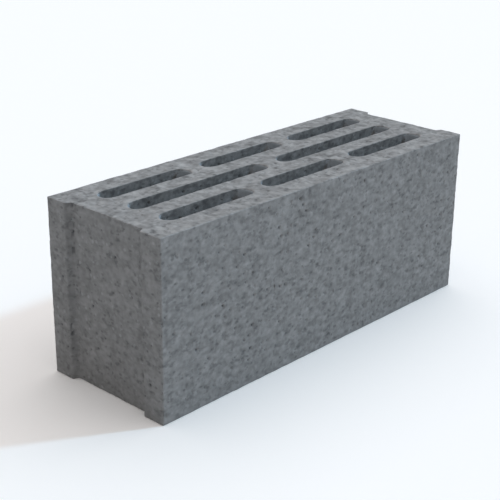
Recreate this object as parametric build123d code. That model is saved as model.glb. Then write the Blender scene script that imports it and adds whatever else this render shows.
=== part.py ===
from build123d import *
import math
import os

# Slotted hollow concrete block, cast in one piece.
# Millimetres, +X along the block, +Y across it, +Z up, origin at the middle of the base.

# Overall size
length = 385.0
width = 132.0
height = 155.0

# Slots: rows along the block, the slots of neighbouring rows set off like bricks in bond
row_count = 3
face_shell = 21.0
row_web = 18.0
end_wall = 30.5
outer_row_slots = 3
outer_row_web = 18.0
middle_row_slots = 2
middle_row_web = 20.0

# The cores of the mould are slimmer at their lower end, so that they draw out
core_taper = 1.0

# Mortar recess down each end, between two raised bands
end_band = 22.0
recess_depth = 5.0
recess_slope = 2.5

# Roundings that the mould and handling leave
corner_radius = 2.5
recess_radius = 1.5
arris_radius = 1.5

# Flat that wear leaves along the edge of every slot
mouth_break = 1.0

# Places worked out from the sizes above
half_length = length / 2
half_width = width / 2
slot_width = (width - 2 * face_shell - (row_count - 1) * row_web) / row_count
row_pitch = slot_width + row_web
slotted_length = length - 2 * end_wall
taper_angle = math.degrees(math.atan(core_taper / height))


def block_outline():
    """Plan of the block: a rectangle with a shallow, slope-sided recess across each end."""
    band_edge = half_width - end_band
    floor_edge = band_edge - recess_slope
    floor_line = half_length - recess_depth
    right_end = [
        (half_length, -half_width),
        (half_length, -band_edge),
        (floor_line, -floor_edge),
        (floor_line, floor_edge),
        (half_length, band_edge),
        (half_length, half_width),
    ]
    left_end = [(-x, -y) for x, y in right_end]
    outline = make_face(Polyline(*right_end, *left_end, close=True))
    recess_corners = [corner for group in outline.vertices().group_by(Axis.Y)[1:-1] for corner in group]
    outline = fillet(recess_corners, recess_radius)
    by_width = outline.vertices().group_by(Axis.Y)
    return fillet(by_width[0] + by_width[-1], corner_radius)


def solid_block():
    """The block before its slots are cored, with its bottom and top arrises eased."""
    block = extrude(block_outline(), height)
    levels = block.edges().group_by(Axis.Z)
    return fillet(levels[0] + levels[-1], arris_radius)


def row_of_cores(row_place, slot_count, web):
    """One row of round-ended cores, widest at the top of the block."""
    core_length = (slotted_length - (slot_count - 1) * web) / slot_count
    pitch = core_length + web
    mouth = Plane.XY.offset(height) * Pos(0, row_place) * SlotOverall(core_length, slot_width)
    core = extrude(mouth, -height, taper=taper_angle)
    first = -(slot_count - 1) * pitch / 2
    return [Pos(first + place * pitch, 0, 0) * core for place in range(slot_count)]


def all_cores():
    """Every core of the mould, row by row: outer rows and middle rows take turns."""
    cores = []
    for row in range(row_count):
        row_place = (row - (row_count - 1) / 2) * row_pitch
        if row % 2 == 0:
            cores += row_of_cores(row_place, outer_row_slots, outer_row_web)
        else:
            cores += row_of_cores(row_place, middle_row_slots, middle_row_web)
    return cores


def ease_mouths(block):
    """Break the edge of every slot where it meets the bottom and the top face."""
    for level in (0, -1):
        face = block.faces().filter_by(GeomType.PLANE).sort_by(Axis.Z)[level]
        mouths = [edge for wire in face.inner_wires() for edge in wire.edges()]
        block = chamfer(mouths, mouth_break)
    return block


block = solid_block()
for core in all_cores():
    block -= core
block = ease_mouths(block)

os.makedirs("parts", exist_ok=True)
export_step(block, "parts/hollow_block.step")
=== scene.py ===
import math

import bpy
import numpy as np
from bpy.props import FloatProperty, FloatVectorProperty, IntProperty, PointerProperty
from mathutils import Matrix, Vector


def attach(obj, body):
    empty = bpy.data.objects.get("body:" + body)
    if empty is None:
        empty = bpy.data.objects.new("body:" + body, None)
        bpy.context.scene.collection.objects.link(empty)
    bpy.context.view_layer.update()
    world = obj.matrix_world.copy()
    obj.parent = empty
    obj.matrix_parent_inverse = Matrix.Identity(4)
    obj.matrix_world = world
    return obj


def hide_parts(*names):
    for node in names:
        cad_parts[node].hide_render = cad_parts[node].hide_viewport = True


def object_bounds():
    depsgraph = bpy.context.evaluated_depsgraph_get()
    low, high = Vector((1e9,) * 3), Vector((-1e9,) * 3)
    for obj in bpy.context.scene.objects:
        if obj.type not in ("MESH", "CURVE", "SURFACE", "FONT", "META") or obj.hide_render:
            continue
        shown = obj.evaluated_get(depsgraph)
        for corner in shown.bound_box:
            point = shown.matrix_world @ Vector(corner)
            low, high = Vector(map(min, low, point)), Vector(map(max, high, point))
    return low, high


bl_info = {
    "name": "Slotted Concrete Block",
    "version": (1, 0, 0),
    "blender": (4, 5, 0),
    "location": "View3D > Sidebar > Concrete Block",
    "description": "Casts a slotted concrete block with pores and worn edges and lights it in a studio",
    "category": "Add Mesh",
}

MM = 0.001
UP = np.array([0.0, 0.0, 1.0])
WHITE = (1, 1, 1, 1)

# In metres: places closer than this count as one, and no length that divides is shorter than the second
SAME_PLACE = 1e-6
NO_LENGTH = 1e-9

# Lines of points that stand close together: along an outer edge, across a slot's mouth and down its wall
EDGE_LINES = 4
MOUTH_LINES = 2
THROAT_LINES = 8

# Cells of the noise lattice along each axis, after which it repeats
LATTICE = 48

# What the mesh tells the material about each of its points
ZONES = ("pit", "wear", "smear", "slotted_face", "slot_wall", "end_face")

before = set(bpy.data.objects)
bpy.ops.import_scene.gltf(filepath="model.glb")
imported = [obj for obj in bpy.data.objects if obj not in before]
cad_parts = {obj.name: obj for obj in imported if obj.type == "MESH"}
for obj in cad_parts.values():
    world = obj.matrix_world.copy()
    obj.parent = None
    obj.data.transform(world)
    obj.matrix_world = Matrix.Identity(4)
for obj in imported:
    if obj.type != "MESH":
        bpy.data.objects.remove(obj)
CAD_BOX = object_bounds()
CAD_LOW = np.array(CAD_BOX[0])
CAD_HIGH = np.array(CAD_BOX[1])
HALF_LENGTH, HALF_WIDTH = (CAD_HIGH - CAD_LOW)[:2] / 2
HEIGHT = CAD_HIGH[2] - CAD_LOW[2]


def linear_rgb(hex_colour):
    """Turn an sRGB hex colour such as '8E9296' into the linear values that Blender works in."""
    shares = [int(hex_colour[place:place + 2], 16) / 255 for place in (0, 2, 4)]
    return tuple(v / 12.92 if v <= 0.04045 else ((v + 0.055) / 1.055) ** 2.4 for v in shares)


def size(name, description, millimetres):
    """A length that the user can change. Its default is written here in millimetres."""
    return FloatProperty(name=name, description=description, default=millimetres * MM, unit="LENGTH",
                         precision=5)


def colour(name, description, hex_colour):
    """A colour that the user can change. Its default is written here as sRGB hex."""
    return FloatVectorProperty(name=name, description=description, default=linear_rgb(hex_colour),
                               subtype="COLOR", min=0, max=1)


def share(name, description, default):
    """A plain factor that the user can change."""
    return FloatProperty(name=name, description=description, default=default, subtype="FACTOR", min=0,
                         soft_max=1)


def angle(name, description, degrees):
    """An angle that the user can change. Its default is written here in degrees."""
    return FloatProperty(name=name, description=description, default=math.radians(degrees),
                         subtype="ANGLE")


def count(name, description, default, least=0):
    """A whole number that the user can change."""
    return IntProperty(name=name, description=description, default=default, min=least)


class BlockShapeSettings(bpy.types.PropertyGroup):
    """Plan, slots and edges of the block. Its length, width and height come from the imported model."""

    row_count: count("Rows", "Rows of slots across the block", 3, 1)
    outer_slots: count("Slots, outer rows", "Slots in the first, third and later odd rows", 3, 1)
    middle_slots: count("Slots, middle rows", "Slots in the even rows", 2, 1)
    face_shell: size("Face shell", "Wall between a long face and the nearest row of slots", 21)
    row_web: size("Row web", "Wall between two rows of slots", 18)
    end_wall: size("End wall", "From an end of the block to the nearest slot", 30.5)
    outer_web: size("Outer row web", "Wall between two slots of an outer row", 18)
    middle_web: size("Middle row web", "Wall between two slots of a middle row", 20)
    core_taper: size("Core taper", "How much slimmer a slot is on each side at the bottom", 1)
    end_band: size("End band", "Width of the raised band on each side of an end recess", 22)
    recess_depth: size("Recess depth", "Depth of the mortar recess down each end", 5)
    recess_slope: size("Recess slope", "Width of the sloping side of the recess", 2.5)
    corner_radius: size("Corner radius", "Rounding of the four upright corners", 1.4)
    arris_radius: size("Arris radius", "Middle rounding of the outer edges top and bottom", 1.0)
    mouth_radius: size("Mouth radius", "Middle rounding of a slot's edges along its sides", 0.45)
    tip_radius: size("Tip radius", "Middle rounding of a slot's edges round its two tips", 2.8)
    grid_step: size("Grid step", "Distance between the points of the cast surface", 2.0)


class CastSurfaceSettings(bpy.types.PropertyGroup):
    """What the mould and the dry mix leave on the surface. All of it goes into the block."""

    seed: count("Seed", "Another number gives another block of the same make", 11)
    swell_depth: size("Swell depth", "Shallow unevenness of the faces", 0.26)
    swell_width: size("Swell width", "How wide that unevenness is", 46)
    lump_depth: size("Lump depth", "Unevenness that the larger grains leave", 0.46)
    lump_width: size("Lump width", "Size of those lumps", 9)
    grain_depth: size("Grain depth", "Roughness of single grains", 0.44)
    grain_width: size("Grain width", "Size of those grains", 4.8)
    lie: FloatProperty(name="Lie", description="How many times wider than high the grains settle",
                       default=1.45, min=1)
    contact: share("Mould contact", "Share of that unevenness that the mould presses flat", 0.34)
    pore_radius: size("Pore radius", "Middle radius of the common pores", 1.9)
    pore_depth: size("Pore depth", "Middle depth of the common pores", 0.9)
    hole_radius: size("Hole radius", "Middle radius of the few large holes", 2.7)
    hole_depth: size("Hole depth", "Middle depth of the large holes", 1.3)
    gap_depth: size("Gap depth", "Depth of the gaps along the foot of the recess slopes", 1.1)
    bite_radius: size("Bite radius", "Middle radius of the bites out of the edges", 4.5)
    bite_depth: size("Bite depth", "Middle depth of those bites", 0.65)
    bite_count: count("Bites", "Bites along all outer edges", 150)
    mouth_bite_count: count("Mouth bites", "Small bites along the slots", 110)


class ConcreteColourSettings(bpy.types.PropertyGroup):
    """Colours of the dry grey concrete."""

    cement: colour("Cement", "The matrix between the grains", "7E7F80")
    pore: colour("Pore", "Depth of a pore, where no light and some dust lies", "2E3033")
    worn: colour("Worn edge", "Rubbed arrises and bites", "9FA7AE")
    # Painted light: the pale cool colour that brightens the tips of the slots, where sky light would reach
    # the walls
    paste: colour("Painted tip light", "Painted light round the tips of the slots, where sky light would reach the walls", "BAC5CF")
    dark_grain: colour("Dark grain", "Basalt grit in the mix", "4C5054")
    pale_grain: colour("Pale grain", "Quartz sand in the mix", "ABAFB1")
    mottle: share("Mottle", "How strongly the surface varies over centimetres", 0.10)
    grit: share("Grit", "How strongly grains differ in brightness", 0.21)
    streak: share("Streak", "How strongly the mould has drawn upright streaks on the sides", 0.07)


class StudioSettings(bpy.types.PropertyGroup):
    """Camera, lamps and floor."""

    azimuth: angle("Camera azimuth", "0 looks along +Y, and 90 along -X", -46.98)
    elevation: angle("Camera elevation", "Above the horizon", 21.74)
    roll: angle("Camera roll", "Turn about the line of sight", 0.63)
    distance: size("Camera distance", "From the aim point to the camera", 1078)
    aim: FloatVectorProperty(name="Aim point", description="Point in the middle of the picture",
                             default=(6.1 * MM, 30.2 * MM, 63.0 * MM), subtype="TRANSLATION",
                             unit="LENGTH", precision=4)
    lens: FloatProperty(name="Focal length", description="In millimetres, for a 36 mm sensor",
                        default=84.8)
    key_azimuth: angle("Key azimuth", "Where the key light comes from, from +X towards +Y", -31)
    key_elevation: angle("Key elevation", "Height of the key light above the horizon", 32.7)
    key_softness: angle("Key softness", "Angle that the key light fills, seen from the block", 4)
    key_light: share("Key light", "Its share of the light on a level white sheet", 0.2)
    top_azimuth: angle("Top azimuth", "Where the top light leans to, from +X towards +Y", 0)
    top_elevation: angle("Top elevation", "Height of the top light above the horizon", 72)
    top_softness: angle("Top softness", "Angle that the top light fills, seen from the block", 90)
    top_light: share("Top light", "Its share of the light on a level white sheet", 0.5)
    room_light: share("Room light", "Share of that light that comes evenly from all round", 0.36)
    key_colour: colour("Key colour", "Cool colour of the key light", "B2E2FF")
    top_colour: colour("Top colour", "Nearly white colour of the top light", "FFFCFD")
    room_colour: colour("Room colour", "Colour of the light from all round", "FFFBF7")
    floor_colour: colour("Floor", "Pale floor, lit to nearly white", "F8F8F8")
    floor_size: size("Floor size", "Side of the square floor", 60000)


def slot_places(shape):
    """Every slot as a row of numbers: left tip, right tip, centre line and half width."""
    row_webs = (shape.row_count - 1) * shape.row_web
    slot_width = (2 * HALF_WIDTH - 2 * shape.face_shell - row_webs) / shape.row_count
    slotted_length = 2 * HALF_LENGTH - 2 * shape.end_wall
    slots = []
    for row in range(shape.row_count):
        centre_line = (row - (shape.row_count - 1) / 2) * (slot_width + shape.row_web)
        slot_count, web = shape.outer_slots, shape.outer_web
        if row % 2 == 1:
            slot_count, web = shape.middle_slots, shape.middle_web
        slot_length = (slotted_length - (slot_count - 1) * web) / slot_count
        for place in range(slot_count):
            left_tip = place * (slot_length + web) - slotted_length / 2
            slots.append((left_tip, left_tip + slot_length, centre_line, slot_width / 2))
    return np.array(slots)


def without_doubles(places):
    """The places in order, each once. Places that agree to a tenth of a micrometre are one."""
    return np.unique(np.round(places, 7))


def filled(stops, step):
    """All stops in order, with the gap between two of them divided evenly into parts of about one step."""
    stops = without_doubles(stops)
    counts = np.maximum(1, np.round(np.diff(stops) / step).astype(int))
    parts = [np.linspace(low, high, parts_here, endpoint=False)
             for low, high, parts_here in zip(stops[:-1], stops[1:], counts)]
    return np.concatenate(parts + [stops[-1:]])


def widening(lines, first=0.62 * MM, growth=0.115 * MM):
    """Distances from an edge that start close together: first times k plus growth times k squared."""
    k = np.arange(lines + 1)
    return first * k + growth * k * k


def grid_lines(shape, slots):
    """Places of the grid's lines along the block and across it, with more of them at edges and slot ends.

    The lines that cross a slot's tip meet its arc every 18 degrees, and six lie on each recess slope and
    a quarter of its width beyond. Elsewhere the lines across stand a tenth further apart."""
    across_step = 1.1 * shape.grid_step
    edge = widening(EDGE_LINES)
    mouth = widening(MOUTH_LINES)
    tips = slots[0, 3] * (1 - np.cos(np.radians(np.linspace(0, 90, 6))))
    along = [0.0, *(HALF_LENGTH - edge), *(edge - HALF_LENGTH)]
    for left_tip, right_tip in slots[:, :2]:
        along += [*(left_tip + tips), *(right_tip - tips)]
    rows = without_doubles(slots[:, 2])
    webs = (rows[1:] + rows[:-1]) / 2
    band_edge = HALF_WIDTH - shape.end_band
    slope = np.linspace(band_edge + shape.recess_slope / 4, band_edge - shape.recess_slope * 5 / 4, 6)
    across = [*(HALF_WIDTH - edge), *(edge - HALF_WIDTH), *slope, *-slope, *webs]
    for row in rows:
        across += [*(row + mouth), *(row - mouth)]
    return filled(along, shape.grid_step), filled(across, across_step)


def end_line(shape, y):
    """Distance of an end face from the middle of the block: half length, less the recess.

    The recess deepens by 3 r r - 2 r r r, where r runs from 0 to 1 over the slope and a little beyond."""
    beyond = 0.2
    band_edge = HALF_WIDTH - shape.end_band
    ramp = np.clip((band_edge - np.abs(y)) / shape.recess_slope, -beyond, 1 + beyond)
    ramp = (ramp + beyond) / (1 + 2 * beyond)
    return HALF_LENGTH - shape.recess_depth * ramp * ramp * (3 - 2 * ramp)


def outline_distance(shape, x, y):
    """Distance inwards from the outline, and the outline's direction outwards at the nearest place.

    The nearer of side and end counts, and within a corner the distance to the corner's arc."""
    from_end = end_line(shape, y) - np.abs(x)
    from_side = HALF_WIDTH - np.abs(y)
    radius = shape.corner_radius
    in_corner = (from_end < radius) & (from_side < radius)
    to_end = np.where(in_corner, radius - from_end, from_end < from_side)
    to_side = np.where(in_corner, radius - from_side, from_end >= from_side)
    reach = np.maximum(np.hypot(to_end, to_side), NO_LENGTH)
    distance = np.where(in_corner, radius - reach, np.minimum(from_end, from_side))
    outward = np.stack([np.sign(x) * to_end / reach, np.sign(y) * to_side / reach], axis=-1)
    return distance, outward


def slot_distance(slots, x, y, inset):
    """Distance from the nearest slot's edge, and the direction towards that slot.

    A slot is all points within its half width of a straight core line, so the distance is that to the
    line less the half width, which is smaller by the inset."""
    distance = np.full(np.shape(x), np.inf)
    towards = np.zeros(np.shape(x) + (2,))
    for left_tip, right_tip, centre_line, half_width in slots:
        beyond_x = x - np.clip(x, left_tip + half_width, right_tip - half_width)
        beyond_y = y - centre_line
        reach = np.hypot(beyond_x, beyond_y)
        nearer = reach - half_width + inset < distance
        distance = np.where(nearer, reach - half_width + inset, distance)
        direction = np.stack([-beyond_x, -beyond_y], axis=-1) / np.maximum(reach, NO_LENGTH)[..., None]
        towards = np.where(nearer[..., None], direction, towards)
    return distance, towards


def face_numbers(columns, rows, slots):
    """Point numbers of one slotted face, as seen by the cells above each point and by those below it.

    The two differ only on the centre line of a slot, where the grid is slit open between the tips."""
    below = np.arange(len(columns) * len(rows)).reshape(len(columns), len(rows))
    above = below.copy()
    total = below.size
    rings = []
    for left_tip, right_tip, centre_line, _ in slots:
        row = np.argmin(np.abs(rows - centre_line))
        first = np.argmin(np.abs(columns - left_tip))
        last = np.argmin(np.abs(columns - right_tip))
        inner = last - first - 1
        above[first + 1:last, row] = np.arange(total, total + inner)
        total += inner
        rings.append(np.concatenate([above[first:last, row], below[last:first:-1, row]]))
    outline = np.concatenate([below[:-1, 0], below[-1, :-1], below[:0:-1, -1], below[0, :0:-1]])
    return above, below, rings, outline, total


def open_slots(x, y, columns, rows, slots, side, inset):
    """Push the grid lines on one side of each slot's centre line away from it, so that the slit becomes
    the round-ended slot.

    A point at share w of the way from the centre line to the strip's border goes to w times the border
    point plus (1 - w) times the point of the slot's edge in its column."""
    centre_lines = np.unique(slots[:, 2])
    webs = (centre_lines[1:] + centre_lines[:-1]) / 2
    borders = np.concatenate([[-HALF_WIDTH], webs, [HALF_WIDTH]])
    for left_tip, right_tip, centre_line, half_width in slots:
        strip = np.argmin(np.abs(centre_lines - centre_line)) + (side > 0)
        width = abs(borders[strip] - centre_line)
        held = (columns >= left_tip - SAME_PLACE) & (columns <= right_tip + SAME_PLACE)
        beyond = side * (rows - centre_line)
        taken = (beyond >= -SAME_PLACE) & (beyond <= width + SAME_PLACE)
        place = columns[held]
        past_core = place - np.clip(place, left_tip + half_width, right_tip - half_width)
        opening = np.sqrt(np.maximum(half_width ** 2 - past_core ** 2, 0))
        edge_x = place - inset * past_core / half_width
        edge_y = centre_line + side * opening * (1 - inset / half_width)
        w = np.clip(beyond[taken] / width, 0, 1)[None, :]
        cells = np.ix_(held, taken)
        x[cells] = w * place[:, None] + (1 - w) * edge_x[:, None]
        y[cells] = w * (centre_line + side * width) + (1 - w) * edge_y[:, None]


def fit_outline(shape, x, y, slots):
    """Stretch the grid's end zones to the end line, then round its corners.

    In a corner the square (a, b) goes to the quarter disc (a sqrt(1 - b b / 2), b sqrt(1 - a a / 2))."""
    reach = np.abs(slots[:, :2]).max()
    past = np.clip((np.abs(x) - reach) / (HALF_LENGTH - reach), 0, 1)
    x = np.where(past > 0, np.sign(x) * (reach + past * (end_line(shape, y) - reach)), x)
    radius = shape.corner_radius
    a = 1 - (HALF_LENGTH - np.abs(x)) / radius
    b = 1 - (HALF_WIDTH - np.abs(y)) / radius
    corner = (a > 0) & (b > 0)
    round_a = a * np.sqrt(np.maximum(1 - b * b / 2, 0))
    round_b = b * np.sqrt(np.maximum(1 - a * a / 2, 0))
    x = np.where(corner, np.sign(x) * (HALF_LENGTH - radius * (1 - round_a)), x)
    y = np.where(corner, np.sign(y) * (HALF_WIDTH - radius * (1 - round_b)), y)
    return x, y


def face_plan(shape, columns, rows, slots, numbers, inset):
    """Plan places of all points of one slotted face, in the order of their numbers."""
    above, below, _, _, total = numbers
    plan = np.zeros((total, 2))
    for seen, side in ((below, -1), (above, 1)):
        x, y = np.meshgrid(columns, rows, indexing="ij")
        open_slots(x, y, columns, rows, slots, -side, inset)
        open_slots(x, y, columns, rows, slots, side, inset)
        x, y = fit_outline(shape, x, y, slots)
        plan[seen.ravel()] = np.stack([x.ravel(), y.ravel()], axis=-1)
    return plan


def quads(lower, upper, wraps):
    """Four-sided faces between neighbouring lines of points: lower holds the near corners, upper the far."""
    if wraps:
        lower = np.concatenate([lower, lower[:1]])
        upper = np.concatenate([upper, upper[:1]])
    corners = [lower[:-1, :-1], lower[1:, :-1], upper[1:, 1:], upper[:-1, 1:]]
    return np.stack(corners, axis=-1).reshape(-1, 4)


class Casting:
    """The block's points while they are worked on, one array each, and the faces between them."""

    def __init__(self):
        self.points = []
        self.outward = []
        self.towards_edge = []
        self.edge_distance = []
        self.at_mouth = []
        self.faces = []
        self.sheets = []

    def add_points(self, points, outward, towards_edge, edge_distance, at_mouth):
        """Take in points, their direction out of the block, and where and how far the next edge is."""
        self.points.append(points)
        self.outward.append(np.broadcast_to(outward, points.shape))
        self.towards_edge.append(np.broadcast_to(towards_edge, points.shape))
        self.edge_distance.append(edge_distance)
        self.at_mouth.append(np.broadcast_to(at_mouth, edge_distance.shape))

    def join(self):
        """Turn the lists into whole arrays, with no pit, rubbed edge or painted tip light yet."""
        for name in ("points", "outward", "towards_edge", "edge_distance", "at_mouth", "faces"):
            setattr(self, name, np.concatenate(getattr(self, name)))
        self.sunk = np.zeros(len(self.points))
        self.rim = np.full(len(self.points), -1)
        self.wear = np.zeros(len(self.points))
        self.smear = np.zeros(len(self.points))


def add_slotted_face(casting, shape, slots, plan, z, side):
    """Top (side 1) or bottom (side -1): flat points with the nearer of outline and slot as their edge."""
    x, y = plan.T
    inset = 0 if side > 0 else shape.core_taper
    from_outline, outline_way = outline_distance(shape, x, y)
    from_slot, slot_way = slot_distance(slots, x, y, inset)
    at_mouth = from_slot < from_outline
    way = np.where(at_mouth[:, None], slot_way, outline_way)
    points = np.column_stack([plan, np.full(len(plan), z)])
    casting.add_points(points, side * UP, np.column_stack([way, np.zeros(len(way))]),
                       np.maximum(np.minimum(from_outline, from_slot), 0), at_mouth)


def add_wall(casting, bottom_plan, top_plan, way, levels, at_mouth):
    """Upright wall between a ring of the bottom face and the same ring of the top face.

    Its points lie on straight lines from one to the other, and way is its direction outwards in plan."""
    share_up = (levels / HEIGHT)[None, :, None]
    plan = bottom_plan[:, None] * (1 - share_up) + top_plan[:, None] * share_up
    height = np.broadcast_to(levels[None, :, None], plan.shape[:2] + (1,))
    points = np.concatenate([plan, height], axis=-1)
    outward = np.broadcast_to(np.append(way, np.zeros((len(way), 1)), axis=1)[:, None], points.shape)
    upper_half = levels > HEIGHT / 2
    towards = np.where(upper_half, 1.0, -1.0)[None, :, None] * UP
    distance = np.broadcast_to(np.minimum(levels, HEIGHT - levels)[None], points.shape[:2])
    casting.add_points(points.reshape(-1, 3), outward.reshape(-1, 3),
                       np.broadcast_to(towards, points.shape).reshape(-1, 3), distance.ravel(), at_mouth)


def lay_out_casting(shape):
    """All points and faces of the sharp-edged block, as one closed surface.

    Top and bottom are the same slit grid, and a wall joins their outlines and the edges of each slot. Down
    in the slots the levels stand far apart, because little of the walls there is seen."""
    deep_step = 13 * shape.grid_step
    slots = slot_places(shape)
    columns, rows = grid_lines(shape, slots)
    numbers = face_numbers(columns, rows, slots)
    above, below, rings, outline, total = numbers
    casting = Casting()
    top_plan = face_plan(shape, columns, rows, slots, numbers, 0)
    bottom_plan = face_plan(shape, columns, rows, slots, numbers, shape.core_taper)
    add_slotted_face(casting, shape, slots, bottom_plan, 0, -1)
    add_slotted_face(casting, shape, slots, top_plan, HEIGHT, 1)
    casting.faces.append(quads(above, below, False)[:, ::-1])
    casting.faces.append(quads(above, below, False) + total)
    casting.sheets += [below, below + total]
    edge = widening(EDGE_LINES)
    skin_levels = filled([*edge, *(HEIGHT - edge)], shape.grid_step)
    throat = widening(THROAT_LINES)
    slot_levels = filled([*throat, *(HEIGHT - throat)], deep_step)
    next_number = 2 * total
    walls = [(outline, skin_levels, False)] + [(ring, slot_levels, True) for ring in rings]
    for ring, levels, at_mouth in walls:
        inner = levels[1:-1]
        x, y = top_plan[ring].T
        way = slot_distance(slots, x, y, 0)[1] if at_mouth else outline_distance(shape, x, y)[1]
        add_wall(casting, bottom_plan[ring], top_plan[ring], way, inner, at_mouth)
        own = np.arange(next_number, next_number + len(ring) * len(inner)).reshape(len(ring), len(inner))
        next_number += own.size
        grid = np.column_stack([ring, own, ring + total])
        casting.faces.append(quads(grid, grid, True))
        casting.sheets.append(grid)
    casting.join()
    return casting


def smooth_noise(points, wavelength, seed):
    """Noise from 0 to 1: random values on a cubic lattice, blended along each axis by 3 t t - 2 t t t."""
    lattice = np.random.default_rng(seed).random((LATTICE, LATTICE, LATTICE))
    place = points / wavelength
    cell = np.floor(place).astype(int)
    part = place - cell
    part = part * part * (3 - 2 * part)
    total = np.zeros(points.shape[:-1])
    for corner in np.ndindex(2, 2, 2):
        index = (cell + corner) % LATTICE
        weight = np.where(corner, part, 1 - part).prod(axis=-1)
        total += weight * lattice[index[..., 0], index[..., 1], index[..., 2]]
    return total


def ease_edges(casting, shape, seed):
    """Round every edge by a radius that wanders along it, and mark the rubbed places and the painted light.

    A point nearer to the edge than the radius r sits at the angle a = 45 degrees times (1 - distance / r)
    of an arc: it ends r (1 - sin a) from the edge, and r (1 - cos a) below its own face. Wear, where
    handling rubs an edge, fades out within 2 r of it. Painted light at a slot's two tips, standing in for
    the sky light that reaches them, starts just below the edge and fades down the wall."""
    wear_reach = 1.7
    tip_light_strength = 3.2
    tip_light_start = 2 * MM
    tip_light_length = 20 * MM
    wander = smooth_noise(casting.points, 9 * MM, seed)
    fine = smooth_noise(casting.points, 4 * MM, seed + 1)
    along_block = np.maximum(np.abs(casting.towards_edge[:, 0]), np.abs(casting.outward[:, 0]))
    at_tip = along_block * casting.at_mouth
    mouth = shape.mouth_radius + at_tip ** 2 * (shape.tip_radius - shape.mouth_radius)
    mouth = mouth * (0.5 + 0.6 * wander + 0.4 * fine)
    arris = shape.arris_radius * (0.45 + 0.7 * wander + 0.4 * fine)
    radius = np.where(casting.at_mouth, mouth, arris)
    distance = casting.edge_distance
    turn = math.pi / 4 * np.clip(1 - distance / radius, 0, 1)
    near = turn > 0
    pulled = np.where(near, radius * (1 - np.sin(turn)) - distance, 0)[:, None]
    dropped = np.where(near, radius * (1 - np.cos(turn)), 0)[:, None]
    casting.points = casting.points - pulled * casting.towards_edge - dropped * casting.outward
    rubbed = np.clip(1 - distance / (wear_reach * radius), 0, 1) * (0.35 + 0.9 * wander * fine)
    casting.wear = rubbed * (1 - at_tip)
    # Painted light down the walls at the slot tips, in place of sky light: strongest just below the rim,
    # fading down the wall
    tip_light_mask = tip_light_strength * at_tip * (1 - np.abs(casting.outward[:, 2]))
    tip_light_mask *= np.exp(-distance / tip_light_length)
    casting.smear = tip_light_mask * np.clip(distance / tip_light_start, 0, 1)


def point_normals(points, faces):
    """Direction out of the block at each point: the sum of the cross products of its faces' diagonals."""
    corners = points[faces]
    cross = np.cross(corners[:, 2] - corners[:, 0], corners[:, 3] - corners[:, 1])
    normals = np.zeros_like(points)
    for corner in range(4):
        np.add.at(normals, faces[:, corner], cross)
    return normals / np.linalg.norm(normals, axis=1)[:, None]


def largest_nearby(values, reach):
    """The largest value within reach steps of each place of a grid, both ways round."""
    best = values
    for axis in (0, 1):
        best = np.max([np.roll(best, step, axis) for step in range(-reach, reach + 1)], axis=0)
    return best


def pick_sites(rank, least, reach):
    """Grid places whose rank beats every other within reach, so that no two pits share a point."""
    return np.argwhere((rank > least) & (rank == largest_nearby(rank, reach)))


def press_pits(casting, sheet, sites, rings, radii, depths, rng):
    """Gather the points round each site onto the rim of a pit and push those inside it into the block.

    A point of ring k of n goes to k / n of the rim's radius, which is 1 + e cos(2 t - t0) times the pit's
    own, at its angle t round the site. Rim points stay on the surface, and those inside go down by about
    the depth. No point moves so far that its cells would turn over."""
    least_move, most_move = 0.42, 1.12
    centres = sheet[tuple(sites.T)]
    middle = casting.points[centres]
    stretch = rng.uniform(0.0, 0.32, len(sites))
    lean = rng.uniform(0, 2 * math.pi, len(sites))
    for step in np.ndindex(2 * rings + 1, 2 * rings + 1):
        offset = np.array(step) - rings
        ring = np.abs(offset).max()
        uneven = rng.uniform(0.85, 1.15, (2, len(sites)))
        if ring > 0:
            own = sheet[tuple(((sites + offset) % sheet.shape).T)]
            away = casting.points[own] - middle
            reach = np.linalg.norm(away, axis=1)
            turn = math.atan2(offset[1], offset[0])
            target = radii * ring / rings * (1 + stretch * np.cos(2 * turn - lean)) * uneven[0]
            target = np.clip(target, least_move * reach, most_move * reach)
            casting.points[own] = middle + away * (target / reach)[:, None]
        else:
            own = centres
        if ring < rings:
            casting.sunk[own] = depths * uneven[1]
        else:
            casting.rim[own] = centres


def pit_surface(casting, surface, rng):
    """Choose and press the holes and pores of every sheet, closer together in some zones.

    Every place that is clear of the edges draws a rank, and a pit comes where the rank is high enough and
    beats all others within reach. Holes of two rings come first, and pores of one ring keep off them."""
    clearance = 3.2 * MM
    hole_rank, hole_reach = 0.985, 5
    pore_rank, pore_reach = 0.55, 2
    crowding = smooth_noise(casting.points, 26 * MM, surface.seed + 20)
    for sheet in casting.sheets:
        clear = casting.edge_distance[sheet] > clearance
        clear &= ~largest_nearby(~clear, 1)
        chance = clear * (0.62 + 0.38 * crowding[sheet])
        rank = rng.random(sheet.shape) * chance * ~largest_nearby(~clear, 2)
        sites = pick_sites(rank, hole_rank, hole_reach)
        wide, deep = rng.uniform(0.8, 1.2, (2, len(sites)))
        press_pits(casting, sheet, sites, 2, surface.hole_radius * wide, surface.hole_depth * deep, rng)
        holes = np.zeros(sheet.shape, bool)
        holes[tuple(sites.T)] = True
        rank = rng.random(sheet.shape) * chance * ~largest_nearby(holes, hole_reach - 1)
        sites = pick_sites(rank, pore_rank, pore_reach)
        wide = rng.uniform(0.62, 1.38, len(sites))
        deep = wide * rng.uniform(0.5, 1.25, len(sites))
        press_pits(casting, sheet, sites, 1, surface.pore_radius * wide, surface.pore_depth * deep, rng)


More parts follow.
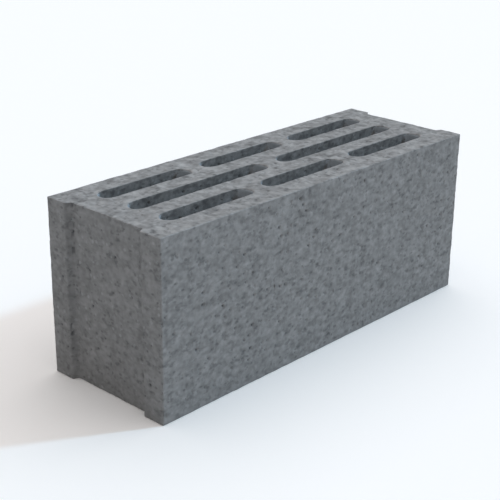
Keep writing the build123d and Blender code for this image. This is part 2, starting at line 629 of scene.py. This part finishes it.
def recess_gaps(shape, casting, seed):
    """From 0 to 1, how far open the skin is along the foot of each recess slope, where the dry mix hardly
    fills the mould's corner.

    It is exp(-t t), with t the distance from the foot over the gaps' reach, times noise that is sharpened
    about its middle. The line that the distance is taken from wanders to either side of the foot."""
    reach = 1.6 * MM
    wander_width = 5 * MM
    foot = HALF_WIDTH - shape.end_band - shape.recess_slope
    wander = wander_width * (smooth_noise(casting.points * [1, 0, 1], 14 * MM, seed) - 0.5)
    t = (np.abs(casting.points[:, 1]) - foot + wander) / reach
    noise = np.clip(4 * smooth_noise(casting.points, 4 * MM, seed + 1) - 2, 0, 1)
    return np.exp(-t * t) * np.abs(casting.outward[:, 0]) * noise * ~casting.at_mouth


def roughen(casting, shape, surface, normals):
    """Sink every point along its normal by three sizes of noise and by the depth of its pit or gap.

    Lumps and grains lie flat, as the vibrated mix settles, and the sides have faint upright drag lines. On
    the slotted faces, which no mould wall smooths, the lumps are twice as deep. What would stand highest is
    pressed flat everywhere. Towards an edge the noise fades to half, or to a fifth at a slot, whose thin
    edge it would fold."""
    fade_width = 3 * MM
    drag_lie = 0.06
    points = casting.points
    lying = points * [1, 1, surface.lie]
    swell = smooth_noise(points, surface.swell_width, surface.seed + 2)
    lump = smooth_noise(lying, surface.lump_width, surface.seed + 3)
    grain = smooth_noise(lying, surface.grain_width, surface.seed + 4)
    drag = smooth_noise(points * [1, 1, drag_lie], surface.grain_width, surface.seed + 5)
    inland = np.clip(casting.edge_distance / fade_width, 0, 1)
    level = np.abs(casting.outward[:, 2]) * inland
    lump_depth = (1 + level) * surface.lump_depth
    grain_depth = (1 + 0.4 * level) * surface.grain_depth
    drag_depth = 0.5 * surface.grain_depth * (1 - level)
    sunk = surface.swell_depth * swell + lump_depth * lump + grain_depth * grain + drag_depth * drag
    whole = surface.swell_depth + lump_depth + grain_depth + drag_depth
    at_edge = np.where(casting.at_mouth, 0.2, 0.5)
    sunk = np.maximum(sunk - surface.contact * whole, 0) * (at_edge + (1 - at_edge) * inland)
    casting.sunk += surface.gap_depth * recess_gaps(shape, casting, surface.seed + 8)
    casting.points = points - (sunk + casting.sunk)[:, None] * normals


def take_bites(casting, places, ways, radii, depths, seed):
    """Press round bites into edges.

    A point inside a ball whose middle lies outside the block goes to its surface. The ball reaches as deep
    into the edge as the bite's depth, and noise keeps the hollow from being smooth. A hollow of half a
    millimetre is worn as pale as it gets."""
    fully_worn = 0.5 * MM
    rough = smooth_noise(casting.points, 3.1 * MM, seed)
    for place, way, radius, depth in zip(places, ways, radii, depths):
        middle = place + way * (radius - depth)
        away = casting.points - middle
        reach = np.linalg.norm(away, axis=1)
        inside = np.flatnonzero(reach < radius)
        pushed = (radius - reach[inside]) * (0.65 + 0.6 * rough[inside])
        casting.points[inside] += away[inside] * (pushed / reach[inside])[:, None]
        casting.wear[inside] = np.maximum(casting.wear[inside], np.clip(pushed / fully_worn, 0, 1))


def bite_edges(casting, surface, rng):
    """Bites along the twelve outer edges, each as likely as it is long, and small ones along the slots.

    A bite comes from straight outside its edge, halfway between the two faces that meet there."""
    half = np.array([HALF_LENGTH, HALF_WIDTH, HEIGHT / 2])
    bites = np.arange(surface.bite_count)
    runs_along = rng.choice(3, len(bites), p=half / half.sum())
    ways = rng.choice([-1.0, 1.0], (len(bites), 3))
    places = ways * half
    places[bites, runs_along] *= rng.random(len(bites))
    ways[bites, runs_along] = 0
    radii = surface.bite_radius * rng.uniform(0.5, 1.7, len(bites))
    depths = surface.bite_depth * rng.uniform(0.4, 1.5, len(bites))
    take_bites(casting, places + UP * half, ways / math.sqrt(2), radii, depths, surface.seed + 6)
    mouths = np.flatnonzero(casting.at_mouth & (casting.edge_distance < SAME_PLACE))
    chosen = rng.choice(mouths, surface.mouth_bite_count)
    ways = (casting.towards_edge[chosen] + casting.outward[chosen]) / math.sqrt(2)
    radii = surface.bite_radius * rng.uniform(0.5, 1.0, len(chosen))
    depths = surface.bite_depth * rng.uniform(0.2, 0.8, len(chosen))
    take_bites(casting, casting.points[chosen], ways, radii, depths, surface.seed + 7)


def block_mesh(casting, name):
    """Blender mesh of the casting, with sharp pit rims and the zones that its material reads.

    Each face starts at its deepest corner, so that pits are split from the middle. The zone of a pit is its
    depth as a share of a full pit's."""
    full_pit = 0.8 * MM
    points = np.clip(casting.points + [0, 0, CAD_LOW[2]], CAD_LOW, CAD_HIGH)
    deepest = casting.sunk[casting.faces].argmax(axis=1)
    order = (np.arange(4) + deepest[:, None]) % 4
    faces = np.take_along_axis(casting.faces, order, axis=1)
    mesh = bpy.data.meshes.new(name)
    mesh.from_pydata(points, [], faces)
    mesh.shade_smooth()
    ends = np.empty(len(mesh.edges) * 2, np.int32)
    mesh.edges.foreach_get("vertices", ends)
    first, last = casting.rim[ends.reshape(-1, 2)].T
    sharp = mesh.attributes.new("sharp_edge", "BOOLEAN", "EDGE")
    sharp.data.foreach_set("value", (first == last) & (first >= 0))
    pit = casting.sunk / full_pit
    level = np.abs(casting.outward[:, 2])
    slot_wall = (1 - level) * casting.at_mouth
    end_face = np.abs(casting.outward[:, 0]) * ~casting.at_mouth
    for zone, values in zip(ZONES, (pit, casting.wear, casting.smear, level, slot_wall, end_face)):
        mesh.attributes.new(zone, "FLOAT", "POINT").data.foreach_set("value", values)
    return mesh


def add_node(tree, kind, inputs=(), **settings):
    """Add one node. Inputs holds values or other nodes' outputs, in the order of the node's sockets or by
    a socket's name or number."""
    node = tree.nodes.new(kind)
    for setting, value in settings.items():
        setattr(node, setting, value)
    for socket, value in inputs.items() if isinstance(inputs, dict) else enumerate(inputs):
        if isinstance(value, bpy.types.NodeSocket):
            tree.links.new(value, node.inputs[socket])
        else:
            node.inputs[socket].default_value = value
    return node


def opaque(linear):
    """A linear colour with full alpha, as a colour socket takes it."""
    return (*linear, 1.0)


def vibrated_concrete(colours, lie):
    """Dry-mix concrete, vibrated in a steel mould and stripped at once.

    Too little paste fills the gaps between the grains, so that the eye sees a matt grey skin of sand and
    grit, open pores, upright drag marks on the sides and paler rubbed edges. Painted shade darkens the
    pores, pinholes and gaps, painted top light brightens the slotted faces, and painted light the slot tips."""
    material = bpy.data.materials.new("vibrated_concrete")
    material.use_nodes = True
    tree = material.node_tree
    shader = tree.nodes["Principled BSDF"]
    place = add_node(tree, "ShaderNodeTexCoord").outputs["Object"]
    # Places as lumps see them that lie flat, and as drag marks do, which are twenty times as high as wide
    lying, drawn = [
        add_node(tree, "ShaderNodeMapping", {"Vector": place, "Scale": (1, 1, rise)}).outputs["Vector"]
        for rise in (lie, 0.05)]
    zone = {name: add_node(tree, "ShaderNodeAttribute", attribute_name=name).outputs["Fac"]
            for name in ZONES}

    # Noise from 0 to 1, with the size of its lumps in mm. Sand of 1 mm is finer than the picture shows, so
    # lumps of 3 to 10 mm carry most of the contrast, and most of them lie flat, as the mix settles.
    noise = {}
    for name, width, detail, roughness, at in (
        ("clouds", 48, 3, 0.5, place),
        ("patches", 19, 3, 0.6, lying),
        ("clusters", 9.5, 1, 0.5, lying),
        ("grit", 5.2, 1, 0.5, lying),
        ("sand", 3, 0, 0.5, place),
        ("drag", 5, 2, 0.6, drawn),
        ("open_grit", 9, 2, 0.5, place),
        ("gaps", 7, 2, 0.5, lying),
        ("rubbing", 2.2, 2, 0.5, place),
        ("dust", 0.9, 3, 0.65, place),
    ):
        inputs = {"Vector": at, "Scale": 1 / (width * MM), "Detail": detail, "Roughness": roughness}
        noise[name] = add_node(tree, "ShaderNodeTexNoise", inputs).outputs["Fac"]

    # Cells with their size in mm: the distance from a cell's middle, and three random numbers of its own
    middle = {}
    number = {}
    for name, width, at in (("grain", 4.2, place), ("pinhole", 5.6, lying)):
        cells = add_node(tree, "ShaderNodeTexVoronoi", {"Vector": at, "Scale": 1 / (width * MM)})
        middle[name] = cells.outputs["Distance"]
        number[name] = add_node(tree, "ShaderNodeSeparateColor", [cells.outputs["Color"]]).outputs

    # Gaps between the grains, where the paste is thin, are darkened as painted shade in patches, most of all
    # down in the slots, where shade falls; what is rubbed or painted with tip light is uneven
    gap_shade, rubbed, tip_light_mask = [
        add_node(tree, "ShaderNodeMath", inputs, operation="MULTIPLY_ADD").outputs[0]
        for inputs in ((zone["slot_wall"], 0.1, noise["gaps"]), (zone["wear"], noise["rubbing"], 0),
                       (zone["smear"], noise["rubbing"], 0))]

    # Smooth steps: what they follow, where they begin and end, and their values there
    step = {}
    for name, value, begin, end, before, after in (
        ("open_swing", zone["slotted_face"], 0, 1, 0, colours.grit * 7),
        ("swing", zone["end_face"], 0, 1, 1, 0.72),
        # Painted top light: the slotted faces brighter than the sides
        ("painted_top_light", zone["slotted_face"], 0, 1, 1, 1.18),
        ("grain", middle["grain"], 0.42, 0.26, 0, 1),
        ("dark", number["grain"]["Red"], 0.86, 0.93, 0, 0.22),
        ("pale", number["grain"]["Green"], 0.84, 0.93, 0, 0.27),
        ("pinhole_radius", number["pinhole"]["Blue"], 0.45, 1, 0, 0.4),
        # Painted shade in the gaps between the grains, more of it down in the slots
        ("gaps", gap_shade, 0.54, 0.76, 0, 1),
        ("rubbed", rubbed, 0.12, 0.75, 0, 1),
        # Painted light at the slot tips
        ("tip_light_mask", tip_light_mask, 0.12, 0.75, 0, 1),
        # Painted shade with some dust in the pits, darkest where they are deepest
        ("pit", zone["pit"], 0.45, 1.8, 0, 1),
    ):
        inputs = (value, begin, end, before, after)
        node = add_node(tree, "ShaderNodeMapRange", inputs, interpolation_type="SMOOTHSTEP")
        step[name] = node.outputs["Result"]

    # Pinholes up to 4 mm across, shallower than the modelled pores: the middles of the cells that have one.
    # They are darkened in pore colour as painted shade.
    inputs = (step["pinhole_radius"], middle["pinhole"])
    inside = add_node(tree, "ShaderNodeMath", inputs, operation="SUBTRACT").outputs[0]
    inputs = (inside, 0, 0.2, 0, 1)
    node = add_node(tree, "ShaderNodeMapRange", inputs, interpolation_type="SMOOTHSTEP")
    pinhole = node.outputs["Result"]

    # The brightness swings with each noise about its middle. The slotted faces, top and bottom, are painted
    # 18 percent paler than the sides as painted top light, and the ends are the smoothest.
    unevenness = 0
    for name, swing in (
        ("clouds", colours.mottle * 1.6),
        ("patches", colours.mottle * 3.2),
        ("clusters", colours.grit * 2.9),
        ("grit", colours.grit * 3.1),
        ("sand", colours.grit * 1.3),
        ("drag", colours.streak * 3),
        ("open_grit", step["open_swing"]),
    ):
        offset = add_node(tree, "ShaderNodeMath", (noise[name], 0.5), operation="SUBTRACT").outputs[0]
        inputs = (offset, swing, unevenness)
        unevenness = add_node(tree, "ShaderNodeMath", inputs, operation="MULTIPLY_ADD").outputs[0]
    inputs = (unevenness, step["swing"], step["painted_top_light"])
    brightness = add_node(tree, "ShaderNodeMath", inputs, operation="MULTIPLY_ADD").outputs[0]
    inputs = {0: colours.cement, "Scale": brightness}
    surface = add_node(tree, "ShaderNodeVectorMath", inputs, operation="SCALE").outputs["Vector"]

    # Layers over the cement, each with how far it covers what is under it: single dark and pale grains,
    # painted shade in pinholes and in the gaps between the grains, rubbed edges, painted light at the slot
    # tips, and painted shade with some dust in the modelled pits
    for pattern, strength, tint in (
        (step["grain"], step["dark"], colours.dark_grain),
        (step["grain"], step["pale"], colours.pale_grain),
        (pinhole, 0.34, colours.pore),
        (step["gaps"], 0.42, colours.pore),
        (step["rubbed"], 0.75, colours.worn),
        # Painted light at the slot tips, in a pale cool colour
        (step["tip_light_mask"], 0.75, colours.paste),
        (step["pit"], 0.75, colours.pore),
    ):
        cover = add_node(tree, "ShaderNodeMath", (pattern, strength), operation="MULTIPLY").outputs[0]
        inputs = {0: cover, 6: surface, 7: opaque(tint)}
        surface = add_node(tree, "ShaderNodeMix", inputs, data_type="RGBA").outputs[2]

    # Sand of its real size, and dust between its grains
    cells = add_node(tree, "ShaderNodeTexVoronoi", {"Vector": place, "Scale": 1 / (1.1 * MM)})
    inputs = (noise["dust"], cells.outputs["Distance"])
    sand = add_node(tree, "ShaderNodeMath", inputs, operation="SUBTRACT").outputs[0]
    relief = add_node(tree, "ShaderNodeMath", (pinhole, -1.6, sand), operation="MULTIPLY_ADD").outputs[0]
    bump = add_node(tree, "ShaderNodeBump", {"Strength": 0.22, "Distance": 0.35 * MM, "Height": relief})

    tree.links.new(surface, shader.inputs["Base Color"])
    tree.links.new(bump.outputs["Normal"], shader.inputs["Normal"])
    shader.inputs["Roughness"].default_value = 0.93
    shader.inputs["Specular IOR Level"].default_value = 0.3
    return material


def pale_floor(studio):
    """Seamless matt studio paper: even and nearly white.

    It is pure white where the camera itself sees it, so that it runs into the white behind it while it
    still takes the block's shadow."""
    material = bpy.data.materials.new("pale_studio_paper")
    material.use_nodes = True
    tree = material.node_tree
    shader = tree.nodes["Principled BSDF"]
    seen = add_node(tree, "ShaderNodeLightPath").outputs["Is Camera Ray"]
    inputs = {0: seen, 6: opaque(studio.floor_colour), 7: WHITE}
    tint = add_node(tree, "ShaderNodeMix", inputs, data_type="RGBA").outputs[2]
    tree.links.new(tint, shader.inputs["Base Color"])
    shader.inputs["Roughness"].default_value = 0.9
    shader.inputs["Specular IOR Level"].default_value = 0.0
    return material


def studio_world(studio):
    """Even light from all round, and pure white where the camera or a reflection sees past the floor."""
    world = bpy.data.worlds.new("studio_room")
    world.use_nodes = True
    tree = world.node_tree
    light = tree.nodes["Background"]
    light.inputs["Color"].default_value = opaque(studio.room_colour)
    light.inputs["Strength"].default_value = studio.room_light
    white = add_node(tree, "ShaderNodeBackground", {"Color": WHITE, "Strength": 1.0})
    ray = add_node(tree, "ShaderNodeLightPath")
    seen = ray.outputs["Is Camera Ray"]
    for kind in ("Is Glossy Ray", "Is Transmission Ray"):
        inputs = (seen, ray.outputs[kind])
        seen = add_node(tree, "ShaderNodeMath", inputs, operation="MAXIMUM").outputs[0]
    mixed = add_node(tree, "ShaderNodeMixShader", (seen, light.outputs[0], white.outputs[0]))
    tree.links.new(mixed.outputs[0], tree.nodes["World Output"].inputs["Surface"])
    return world


def link(name, data):
    """New object with that data, in the scene."""
    made = bpy.data.objects.new(name, data)
    bpy.context.scene.collection.objects.link(made)
    return made


def hang_lamp(studio, lamp):
    """Far lamp that gives a level white sheet its share of the light, however low it stands."""
    azimuth, elevation, softness, light, tint = [
        getattr(studio, f"{lamp}_{setting}")
        for setting in ("azimuth", "elevation", "softness", "light", "colour")]
    sun = bpy.data.lights.new(f"{lamp}_light", "SUN")
    sun.angle = softness
    sun.color = tint
    sun.energy = math.pi * light / math.sin(elevation)
    flat = math.cos(elevation)
    towards_lamp = Vector((flat * math.cos(azimuth), flat * math.sin(azimuth), math.sin(elevation)))
    link(sun.name, sun).matrix_world = towards_lamp.to_track_quat("Z", "Y").to_matrix().to_4x4()


class SLOTTEDBLOCK_OT_set_studio(bpy.types.Operator):
    """Lay the floor, hang the lamps and set up the camera"""

    bl_idname = "slottedblock.set_studio"
    bl_label = "Set Up Studio"

    def execute(self, context):
        studio = context.scene.block_studio
        half = studio.floor_size / 2
        corners = [(x * half, y * half, CAD_LOW[2]) for x, y in ((-1, -1), (1, -1), (1, 1), (-1, 1))]
        paper = bpy.data.meshes.new("studio_floor")
        paper.from_pydata(corners, [], [(0, 1, 2, 3)])
        paper.materials.append(pale_floor(studio))
        floor = link("studio_floor", paper)

        for lamp in ("key", "top"):
            hang_lamp(studio, lamp)

        lens = bpy.data.cameras.new("camera")
        lens.sensor_width = 36
        lens.lens = studio.lens
        # Far enough, in metres, to see past the edge of the floor
        lens.clip_end = 200
        camera = link("camera", lens)
        raised = Matrix.Rotation(math.pi / 2 - studio.elevation, 4, "X")
        rolled = Matrix.Rotation(studio.roll, 4, "Z")
        turned = Matrix.Rotation(studio.azimuth, 4, "Z") @ raised @ rolled
        back = turned.col[2].to_3d()
        camera.matrix_world = Matrix.Translation(Vector(studio.aim) + back * studio.distance) @ turned
        context.scene.camera = camera

        context.scene.world = studio_world(studio)
        context.scene.view_settings.view_transform = "Standard"
        return {"FINISHED"}


class SLOTTEDBLOCK_OT_cast_block(bpy.types.Operator):
    """Cast the block: a closed surface with slots, worn edges and pores, in place of the plain model"""

    bl_idname = "slottedblock.cast_block"
    bl_label = "Cast Block"

    def execute(self, context):
        shape = context.scene.block_shape
        surface = context.scene.block_surface
        rng = np.random.default_rng(surface.seed)
        casting = lay_out_casting(shape)
        ease_edges(casting, shape, surface.seed)
        normals = point_normals(casting.points, casting.faces)
        pit_surface(casting, surface, rng)
        roughen(casting, shape, surface, normals)
        bite_edges(casting, surface, rng)
        mesh = block_mesh(casting, "cast_block")
        mesh.materials.append(vibrated_concrete(context.scene.block_colours, surface.lie))
        block = link("cast_block", mesh)
        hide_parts("hollow_block")
        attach(block, "root")
        return {"FINISHED"}


class SLOTTEDBLOCK_PT_panel(bpy.types.Panel):
    """Sidebar panel with the block's settings and operators"""

    bl_idname = "SLOTTEDBLOCK_PT_panel"
    bl_label = "Concrete Block"
    bl_space_type = "VIEW_3D"
    bl_region_type = "UI"
    bl_category = "Concrete Block"

    def draw(self, context):
        for group in SETTINGS:
            box = self.layout.box()
            for name in SETTINGS[group].__annotations__:
                box.prop(getattr(context.scene, group), name)
        for operator in OPERATORS:
            self.layout.operator(operator.bl_idname)


SETTINGS = {
    "block_shape": BlockShapeSettings,
    "block_surface": CastSurfaceSettings,
    "block_colours": ConcreteColourSettings,
    "block_studio": StudioSettings,
}
OPERATORS = (SLOTTEDBLOCK_OT_set_studio, SLOTTEDBLOCK_OT_cast_block)


def register():
    for settings in SETTINGS.values():
        bpy.utils.register_class(settings)
    for operator in OPERATORS:
        bpy.utils.register_class(operator)
    bpy.utils.register_class(SLOTTEDBLOCK_PT_panel)
    for group, settings in SETTINGS.items():
        setattr(bpy.types.Scene, group, PointerProperty(type=settings))


def unregister():
    for group in SETTINGS:
        delattr(bpy.types.Scene, group)
    bpy.utils.unregister_class(SLOTTEDBLOCK_PT_panel)
    for operator in reversed(OPERATORS):
        bpy.utils.unregister_class(operator)
    for settings in reversed(SETTINGS.values()):
        bpy.utils.unregister_class(settings)


def main():
    register()
    bpy.ops.slottedblock.set_studio()
    bpy.ops.slottedblock.cast_block()


if __name__ == "__main__":
    main()
